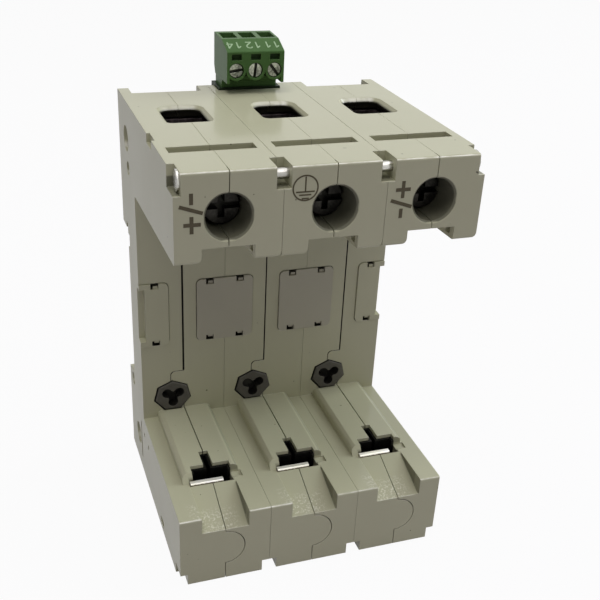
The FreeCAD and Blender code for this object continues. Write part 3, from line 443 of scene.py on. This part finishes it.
ramp_side = ((4.3, front_face, 9.0), (4.8, -16.3, 15.5), 0.12, 0.4, pole_pitch)
ramp_end = ((4.3, -24.0, 9.0), (4.8, -16.0, 15.5), 0.4, 0.5, pole_pitch)
shoulder = ((4.0, -16.0, 15.7), (6.2, 9.0, 17.25), 0.25, 0.3, pole_pitch)
shell_plastic = moulded("shell_plastic", shell_grey, shell_shade, shell_edge_highlight, shell_rough,
                        shell_edge_radius, gloss=shell_gloss,
                        painted_shades=(hole_box, hole_end, notch_left, notch_right, entry_box,
                                 label_box, slot_box, wall_box, ramp_side, ramp_end, shoulder))

# A painted highlight: a broken pale line, which also gets a polished coat, along the edges that
# face forwards and up, but not round the screwdriver holes nor on the rail's front corner, and
# only faintly round the cable entries. Faces that point straight up have a sheen that carries
# the plug's faint reflection.
highlight = (0.86, 0.85, 0.74, 1.0)
highlight_radius = 0.0003
hole_rim = ((-4.3, front_face - 1.0, 70.9), (4.3, 0.0, 79.5), 0.15)
rail_corner = ((-7.0, -17.5, 13.0), (-3.0, -13.5, 17.8), 0.3)
entry_lip = ((-5.6, -1.5, 81.5), (5.6, 11.9, 83.2), 0.2)
lip_loss = 0.6
top_sheen = 0.24
tree = shell_plastic.node_tree
shader = tree.nodes["Principled BSDF"]
place = node(tree, "ShaderNodeTexCoord")
edge = node(tree, "ShaderNodeGroup", node_tree=rounding)
edge.inputs["Radius"].default_value = highlight_radius
turned = node(tree, "ShaderNodeSeparateXYZ", {"Vector": edge.outputs["Normal"]})
forward_up = combined(tree, "MINIMUM", scaled(tree, turned.outputs["Y"], -1.0),
                      turned.outputs["Z"])
line = node(tree, "ShaderNodeMapRange", {"Value": forward_up}, From_Min=0.42, From_Max=0.66)
gaps = noise_mask(tree, place, 420.0, 3.0, 0.36, 0.58, to_low=0.3)
broken = combined(tree, "MULTIPLY", line.outputs[0], gaps)
for box in (hole_rim, rail_corner):
    bare = node(tree, "ShaderNodeMath", {0: broken, 1: box_mask(tree, *box)},
                operation="SUBTRACT", use_clamp=True)
    broken = bare.outputs[0]
less = node(tree, "ShaderNodeMath", {0: box_mask(tree, *entry_lip)}, operation="MULTIPLY_ADD")
less.inputs[1].default_value = -lip_loss
less.inputs[2].default_value = 1.0
broken = combined(tree, "MULTIPLY", broken, less.outputs[0])
over_colour(tree, shader, broken, highlight)
level = node(tree, "ShaderNodeMapRange", {"Value": turned.outputs["Z"]}, From_Min=0.97,
             From_Max=0.995, To_Max=top_sheen)
tree.links.new(combined(tree, "MAXIMUM", broken, level.outputs[0]), shader.inputs["Coat Weight"])
shader.inputs["Coat IOR"].default_value = 1.9
shader.inputs["Coat Roughness"].default_value = 0.09

# Painted glints: fine pale specks on the gates' ends of the ramps, strongest where they face up,
# stand in for light caught by the grain; a few pits lie in the flat faces.
painted_glint = (0.80, 0.79, 0.68, 1.0)
glint_box = ((-7.0, front_face - 1.5, 8.0), (3.4, front_face + 5.2, 17.5), 2.2)
pit = (0.16, 0.155, 0.11, 1.0)
specks = noise_mask(tree, place, 2600.0, 2.0, 0.5, 0.66, to_high=0.7)
glint_mask = combined(tree, "MULTIPLY", specks, box_mask(tree, *glint_box))
upwards = node(tree, "ShaderNodeMath", {0: glint_mask, 1: turned.outputs["Z"]},
               operation="MULTIPLY", use_clamp=True)
over_colour(tree, shader, upwards.outputs[0], painted_glint)
over_colour(tree, shader, noise_mask(tree, place, 900.0, 1.0, 0.795, 0.825), pit)
for pole in poles:
    dress(shell_plastic, "shell_left_%d" % pole, "shell_right_%d" % pole)

# ---------------------------------------------------------------- tie rivets
# Three plated steel rivets run through all the half-shells. The foremost shows in the notches
# along the front edge of the arm; drawing and plating leave faint lines along it.
steel_pale = (0.62, 0.61, 0.57, 1.0)
steel_dull = (0.36, 0.35, 0.32, 1.0)
dress(metal("rivet_steel", steel_pale, steel_dull, 0.16, stretch=(0.12, 1.0, 1.0)), "tie_rivets")

# ---------------------------------------------------------------- lower contacts and star bar
# Tin-plated copper strip, punched and bent: a leaf stands at the front of each T-shaped slot,
# dark brown below a ragged line near its sheared edge, partly raw copper and partly painted
# shade, and its foot lies on the bar that joins the poles.
# A clip of blackened spring steel lines the back of each slot and presses the cartridge's blade.
tin_pale = (0.97, 0.96, 0.92, 1.0)
tin_dull = (0.70, 0.66, 0.56, 1.0)
leaf_dull = (0.95, 0.93, 0.78, 1.0)
leaf_metallic = 0.45
# Dark brown below the leaf's ragged line: partly raw copper, partly painted shade.
copper_and_shade_speck = (0.16, 0.10, 0.035, 1.0)
copper_and_shade_below, tinned_above = 0.01563, 0.01580
speck_reach = 0.0004
along_x = (0.2, 1.0, 1.0)
tinned = metal("tinned_strip", tin_pale, tin_dull, 0.12, stretch=along_x)
leaf_tin = metal("leaf_tin", tin_pale, leaf_dull, 0.22, stretch=along_x)
tree = leaf_tin.node_tree
shader = tree.nodes["Principled BSDF"]
shader.inputs["Metallic"].default_value = leaf_metallic
place = node(tree, "ShaderNodeTexCoord")
parts = node(tree, "ShaderNodeSeparateXYZ", {"Vector": place.outputs["Object"]})
speck = node(tree, "ShaderNodeTexNoise", {"Vector": place.outputs["Object"]}, Scale=2600.0,
             Detail=3.0)
ragged = node(tree, "ShaderNodeMath", {0: speck.outputs["Fac"], 2: parts.outputs["Z"]},
              operation="MULTIPLY_ADD")
ragged.inputs[1].default_value = speck_reach
bright = node(tree, "ShaderNodeMapRange", {"Value": ragged.outputs[0]},
              From_Min=copper_and_shade_below + speck_reach / 2, From_Max=tinned_above + speck_reach / 2)
tin_colour = shader.inputs["Base Color"].links[0].from_socket
tree.links.new(mixed(tree, bright.outputs[0], copper_and_shade_speck, tin_colour),
               shader.inputs["Base Color"])
dress(leaf_tin, "lower_contact_1", "lower_contact_2", "lower_contact_3")
dress(tinned, "star_bar")
clip_steel = metal("clip_steel", (0.030, 0.029, 0.027, 1.0), (0.012, 0.012, 0.011, 1.0), 0.35)
dress(clip_steel, "contact_clip_1", "contact_clip_2", "contact_clip_3")

# ---------------------------------------------------------------- coding keys
# Heptagonal keys of dark grey glass-filled plastic, pressed into the wall; matt, with their edges
# painted paler as a highlight.
# Painted shade on the key's sides and its socket, the faces set back behind its front.
key_socket = ((-30.0, 8.92, 10.0), (30.0, 14.0, 30.0), 0.12, 0.85, single)
key_plastic = moulded("key_plastic", (0.118, 0.113, 0.092, 1.0), (0.088, 0.084, 0.068, 1.0),
                      (0.15, 0.145, 0.12, 1.0), 0.55, 0.00012, mottle_scale=300.0,
                      grain_scale=7000.0, grain=0.25, painted_shades=(key_socket,),
                      dark=(0.004, 0.004, 0.003, 1.0))
dress(key_plastic, "coding_key_1", "coding_key_2", "coding_key_3")

# ---------------------------------------------------------------- cover plates
# Thin snap-in plates over the joint lines of the wall. The two whole ones are moulded in a greyer
# plastic with a matter skin, the half ones at the ends in that of the shells.
# Painted shade on the plates' faces set back behind the wall: their sides and tabs in the windows.
plate_back = ((-30.0, 9.2, 30.0), (30.0, 14.0, 50.0), 0.1, 0.7, single)
end_tabs = ((-24.35, 9.2, 30.0), (24.35, 14.0, 50.0), 0.1, 0.7, single)
plate_plastic = moulded("plate_plastic", (0.445, 0.427, 0.325, 1.0), (0.420, 0.403, 0.307, 1.0),
                        (0.50, 0.48, 0.38, 1.0), 0.5, 0.00015, grain_scale=6500.0, grain=0.15,
                        painted_shades=(plate_back,))
end_plastic = moulded("end_plate_plastic", shell_grey, shell_shade, shell_edge_highlight, shell_rough,
                      shell_edge_radius, gloss=shell_gloss, painted_shades=(end_tabs,))
dress(plate_plastic, "cover_plate_2", "cover_plate_3")
dress(end_plastic, "cover_plate_1", "cover_plate_4")

# ---------------------------------------------------------------- clamping terminals
# Near-black cheese-head screws with painted shade in their slots, bent steel cages with dark
# inside faces, and the dark tin-plated strip whose tongue stands in the cage.
head_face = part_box("terminal_screw_1")[0][1] * mm_per_m
head_slot = ((-30.0, head_face + 0.15, 60.0), (30.0, head_face + 40.0, 90.0), 0.1, 0.7, single)
screw_steel = metal("screw_steel", (0.040, 0.038, 0.033, 1.0), (0.012, 0.011, 0.010, 1.0), 0.25,
                    painted_shades=(head_slot,))
cage_steel = metal("cage_steel", (0.24, 0.20, 0.20, 1.0), (0.075, 0.062, 0.064, 1.0), 0.3,
                   stretch=(1.0, 1.0, 0.2))
strip_tin = metal("strip_tin", (0.20, 0.19, 0.17, 1.0), (0.09, 0.085, 0.075, 1.0), 0.25)
for pole in poles:
    dress(screw_steel, "terminal_screw_%d" % pole)
    dress(cage_steel, "terminal_cage_%d" % pole)
    dress(strip_tin, "line_contact_%d" % pole)

# ---------------------------------------------------------------- printed signs
# Polarity and earth signs, laser-marked on the arm's front: a thin brown-grey layer that stands
# a few hundredths of a millimetre proud of the plastic. Their lines are in millimetres.
print_front = cad_box[0][1]
print_depth = 0.00003
layer_step = 0.12
bar, slash, earth_ring, thin = 0.62, 0.6, 0.26, 0.24


def flat_ribbon(points, width, closed=False):
    """Outline of a ribbon: each point of the path, moved half the width to either side along the
    path's normal, which is the mean direction of its two neighbours turned by 90 degrees."""
    path = np.asarray(points, float)
    if closed:
        ahead = np.roll(path, -1, axis=0) - np.roll(path, 1, axis=0)
    else:
        ahead = np.gradient(path, axis=0)
    ahead /= np.linalg.norm(ahead, axis=1, keepdims=True)
    side = np.stack([-ahead[:, 1], ahead[:, 0]], axis=1) * width / 2
    return path + side, path - side


def printed(name, strokes, body, material, front, depth):
    """Strokes in the X-Z plane, each a ribbon with a front face at front - depth and side faces
    back to front. Grid of four rows (back, front, front, back) along the path. Each stroke stands
    a little prouder than the one before, so that crossing ones share no face."""
    verts = []
    faces = []
    for number, (points, width, closed) in enumerate(strokes):
        left, right = flat_ribbon(np.asarray(points) / mm_per_m, width / mm_per_m, closed)
        top = front - depth * (1 + layer_step * number)
        count = len(left)
        base = len(verts)
        rows = [(left, front), (left, top), (right, top), (right, front)]
        for line, y in rows:
            block = np.column_stack([line[:, 0], np.full(count, y), line[:, 1]])
            verts.extend(block.tolist())
        steps = count if closed else count - 1
        for i in range(steps):
            j = (i + 1) % count
            for row in range(4):
                after = (row + 1) % 4
                faces.append((base + row * count + i, base + row * count + j,
                              base + after * count + j, base + after * count + i))
        if not closed:
            faces.append(tuple(base + row * count for row in (0, 1, 2, 3)))
            faces.append(tuple(base + row * count + count - 1 for row in (3, 2, 1, 0)))
    mesh = bpy.data.meshes.new(name)
    mesh.from_pydata(verts, [], faces)
    mesh.materials.append(material)
    piece = bpy.data.objects.new(name, mesh)
    bpy.context.scene.collection.objects.link(piece)
    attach(piece, body)
    return piece


def stroke(x0, z0, x1, z1, width):
    """Straight stroke between two points."""
    return ([(x0, z0), ((x0 + x1) / 2, (z0 + z1) / 2), (x1, z1)], width, False)


def ring(x, z, radius, width, count=72):
    """Circle round a point."""
    angle = np.linspace(0.0, 2 * np.pi, count, endpoint=False)
    path = np.column_stack([x + radius * np.cos(angle), z + radius * np.sin(angle)])
    return (path, width, True)


marking = moulded("laser_marking", (0.088, 0.076, 0.046, 1.0), (0.118, 0.102, 0.065, 1.0),
                  (0.088, 0.076, 0.046, 1.0), 0.6, 0.00001, mottle_scale=900.0,
                  grain_scale=9000.0)
signs = {
    "sign_pole_1": [stroke(-23.85, 79.5, -23.85, 77.65, bar),
                    stroke(-25.75, 77.45, -22.02, 76.15, slash),
                    stroke(-23.82, 75.7, -23.82, 72.85, bar),
                    stroke(-25.1, 74.33, -22.35, 74.33, bar)],
    "sign_pole_2": [ring(-5.36, 79.05, 2.08, earth_ring),
                    stroke(-5.36, 80.95, -5.36, 78.4, thin),
                    stroke(-6.95, 78.42, -3.8, 78.42, thin),
                    stroke(-6.4, 77.9, -4.35, 77.9, thin),
                    stroke(-5.95, 77.3, -4.75, 77.3, thin)],
    "sign_pole_3": [stroke(11.75, 79.0, 11.75, 76.05, bar),
                    stroke(10.45, 77.52, 13.1, 77.52, bar),
                    stroke(9.7, 75.75, 13.58, 74.42, slash),
                    stroke(11.7, 74.2, 11.7, 72.55, bar)],
}
for name, strokes in signs.items():
    printed(name, strokes, "base", marking, print_front, print_depth)

# ---------------------------------------------------------------- rail feet and springs
# Dark acetal feet slide in the back of the outer poles. A wavy leaf of spring steel in a pocket
# under each foot's lug draws it up against the rail.
foot_plastic = moulded("foot_plastic", (0.045, 0.045, 0.043, 1.0), (0.038, 0.038, 0.036, 1.0),
                       (0.085, 0.085, 0.08, 1.0), 0.42, 0.00015)
spring_steel = metal("spring_steel", (0.45, 0.45, 0.44, 1.0), (0.25, 0.25, 0.24, 1.0), 0.25)
dress(foot_plastic, "rail_foot_1", "rail_foot_2")
dress(spring_steel, "foot_spring_1", "foot_spring_2")
weld_distance = 0.000002
for number in (1, 2):
    # A copy of the leaf, its loose triangles merged, hung from the base in place of the CAD leaf.
    name = "foot_spring_%d" % number
    folds = nodes[name].data.copy()
    work = bmesh.new()
    work.from_mesh(folds)
    bmesh.ops.remove_doubles(work, verts=work.verts, dist=weld_distance)
    work.to_mesh(folds)
    work.free()
    leaf = bpy.data.objects.new("wavy_leaf_%d" % number, folds)
    bpy.context.scene.collection.objects.link(leaf)
    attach(leaf, "base")
    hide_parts(name)
    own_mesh(leaf)

# ---------------------------------------------------------------- signal header
# A header of dark green plastic, painted near black for the shade under the plug, with three
# square tin-plated pins, soldered to a small glass-epoxy board in a pocket at the back of the arm.
header_plastic = moulded("header_plastic", (0.016, 0.026, 0.013, 1.0), (0.012, 0.021, 0.010, 1.0),
                         (0.07, 0.11, 0.055, 1.0), 0.4, 0.0001, gloss=0.05)
board_epoxy = moulded("board_epoxy", (0.05, 0.13, 0.05, 1.0), (0.04, 0.11, 0.045, 1.0),
                      (0.30, 0.27, 0.16, 1.0), 0.4, 0.0001)
pin_tin = metal("pin_tin", (0.80, 0.76, 0.66, 1.0), (0.50, 0.46, 0.38, 1.0), 0.18)
dress(header_plastic, "header_shroud")
dress(board_epoxy, "signal_board")
dress(pin_tin, "header_pins")

# ---------------------------------------------------------------- pluggable connector
# Green polyamide plug with three slotted screws, their clamps and contact strips. The way numbers
# are pad-printed in pale green on the slope, to be read from the wire side.
plug_low, plug_high = ([v * mm_per_m for v in corner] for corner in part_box("plug_body"))
plug_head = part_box("plug_screw_1")[0][1] * mm_per_m
# Painted shade on the plug's faces inside its outline, and on its screws' slots and clamps.
plug_inside = ((plug_low[0] + 0.3, plug_low[1] + 0.25, 85.3),
               (plug_high[0] - 0.3, plug_high[1] - 1.0, plug_high[2] - 2.4), 0.4, 0.45, single)
plug_slots = ((-30.0, plug_head + 0.1, 80.0), (30.0, plug_head + 30.0, 95.0), 0.1, 0.92, single)
plug_plastic = moulded("plug_plastic", (0.072, 0.150, 0.046, 1.0), (0.062, 0.132, 0.040, 1.0),
                       (0.15, 0.26, 0.09, 1.0), 0.34, 0.00014, mottle_scale=150.0, gloss=0.07,
                       painted_shades=(plug_inside,), dark=(0.004, 0.008, 0.003, 1.0))
plug_steel = metal("plug_steel", (0.62, 0.65, 0.55, 1.0), (0.07, 0.075, 0.06, 1.0), 0.26,
                   painted_shades=(plug_slots,))
dress(plug_plastic, "plug_body")
dress(tinned, "plug_blades")
for way in (1, 2, 3):
    dress(plug_steel, "plug_screw_%d" % way, "plug_clamp_%d" % way)

number_ink = moulded("number_ink", (0.36, 0.50, 0.30, 1.0), (0.30, 0.43, 0.25, 1.0),
                     (0.36, 0.50, 0.30, 1.0), 0.55, 0.00001, mottle_scale=1200.0)
digit_height = 2.0
digit_width = 1.25
digit_step = 1.72
digit_line = 0.27
ink_depth = 0.00002
slope_low = Vector((0.0, 0.01635, 0.0909))
slope_high = Vector((0.0, 0.02045, 0.0925))
up_slope = (slope_high - slope_low).normalized()
off_slope = Vector((0.0, -up_slope.z, up_slope.y))
way_places = {"14": -0.00496, "12": -0.00115, "11": 0.00266}


def digit_strokes(digit):
    """Strokes of a digit in a unit box, as lists of points: straight lines, and for the 2 a
    three-quarter arc that runs out into its foot."""
    bend = np.radians(np.linspace(168.0, -32.0, 14))
    bow = np.column_stack([0.5 + 0.42 * np.cos(bend), 0.72 + 0.28 * np.sin(bend)])
    return {"1": [[(0.66, 0.0), (0.66, 0.5), (0.66, 1.0)],
                  [(0.70, 0.99), (0.45, 0.85), (0.2, 0.68)]],
            "4": [[(0.74, 0.0), (0.74, 0.5), (0.74, 1.0)],
                  [(0.78, 1.0), (0.42, 0.66), (0.05, 0.3)],
                  [(0.0, 0.3), (0.5, 0.3), (1.0, 0.3)]],
            "2": [bow.tolist(), [(0.87, 0.58), (0.48, 0.3), (0.08, 0.02)],
                  [(0.04, 0.04), (0.5, 0.04), (0.96, 0.04)]]}[digit]


for text, x in way_places.items():
    lines = []
    for k, digit in enumerate(text):
        for points in digit_strokes(digit):
            path = np.asarray(points) * (digit_width, digit_height)
            path += ((k - 0.5) * digit_step - digit_width / 2, -digit_height / 2)
            lines.append((path, digit_line, False))
    piece = printed("way_number_" + text, lines, "plug", number_ink, 0.0, ink_depth)
    # The strokes are drawn upright in X-Z; here their X runs to the left, their Z down the slope
    # and their front, which faces -Y, away from the slope.
    middle = (slope_low + slope_high) / 2 + Vector((x, 0.0, 0.0))
    lay = Matrix((Vector((-1.0, 0.0, 0.0)), -off_slope, -up_slope)).transposed().to_4x4()
    piece.data.transform(Matrix.Translation(middle) @ lay)
